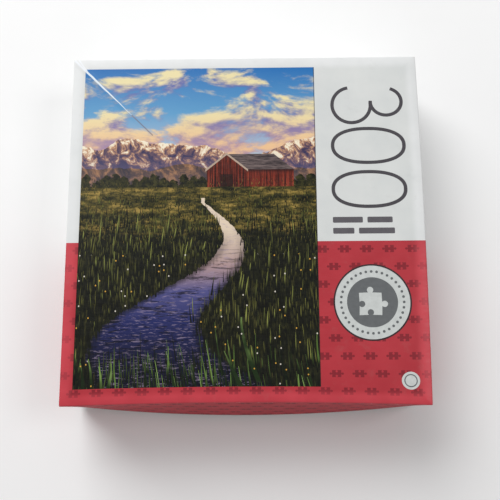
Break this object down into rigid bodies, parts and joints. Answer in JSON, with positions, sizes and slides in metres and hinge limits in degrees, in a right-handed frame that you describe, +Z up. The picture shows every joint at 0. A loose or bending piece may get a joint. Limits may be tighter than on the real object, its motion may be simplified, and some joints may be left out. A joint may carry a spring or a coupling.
{
  "type": "boxed jigsaw puzzle",
  "caption": "Square telescoping puzzle box: printed lift-off lid over a board tray holding a sealed film bag of interlocking jigsaw pieces.",
  "frame": {"origin": "centre of the tray's underside", "axes": "+Z up out of the box's top, +X to the box's right, -Y towards the viewer's side, below the foot of the lid's picture"},
  "size_m": [0.204, 0.2085, 0.0508],
  "materials": {
    "chipboard": "matte grey chipboard",
    "stay_tape": "matte kraft paper tape",
    "printed_wrap": "printed paper with a thin gloss varnish",
    "plain_wrap": "matte white paper",
    "bag_film": "clear polyethylene film",
    "puzzle_board": "printed picture on grey board"
  },
  "bodies": {
    "tray": {"tray_board": "chipboard", "tray_corner_stays": "stay_tape", "tray_wrap": "plain_wrap"},
    "lid": {"lid_board": "chipboard", "lid_corner_stays": "stay_tape", "lid_wrap": "printed_wrap"},
    "bag": {"bag_film": "bag_film", "puzzle_row_01": "puzzle_board", "puzzle_row_02": "puzzle_board", "puzzle_row_03": "puzzle_board", "puzzle_row_04": "puzzle_board", "puzzle_row_05": "puzzle_board", "puzzle_row_06": "puzzle_board", "puzzle_row_07": "puzzle_board", "puzzle_row_08": "puzzle_board", "puzzle_row_09": "puzzle_board", "puzzle_row_10": "puzzle_board", "puzzle_row_11": "puzzle_board", "puzzle_row_12": "puzzle_board", "puzzle_row_13": "puzzle_board", "puzzle_row_14": "puzzle_board", "puzzle_row_15": "puzzle_board", "puzzle_row_16": "puzzle_board", "puzzle_row_17": "puzzle_board", "puzzle_row_18": "puzzle_board", "puzzle_row_19": "puzzle_board", "puzzle_row_20": "puzzle_board"}
  },
  "joints": [
    {"name": "lid_lift", "type": "slide", "parent": "tray", "child": "lid", "axis": [0, 0, 1], "range_m": [0, 0.16]},
    {"name": "bag_lift", "type": "slide", "parent": "tray", "child": "bag", "axis": [0, 0, 1], "range_m": [0, 0.064]}
  ],
  "couplings": [
    {"joint": "bag_lift", "follows": "lid_lift", "ratio": 0.4}
  ]
}
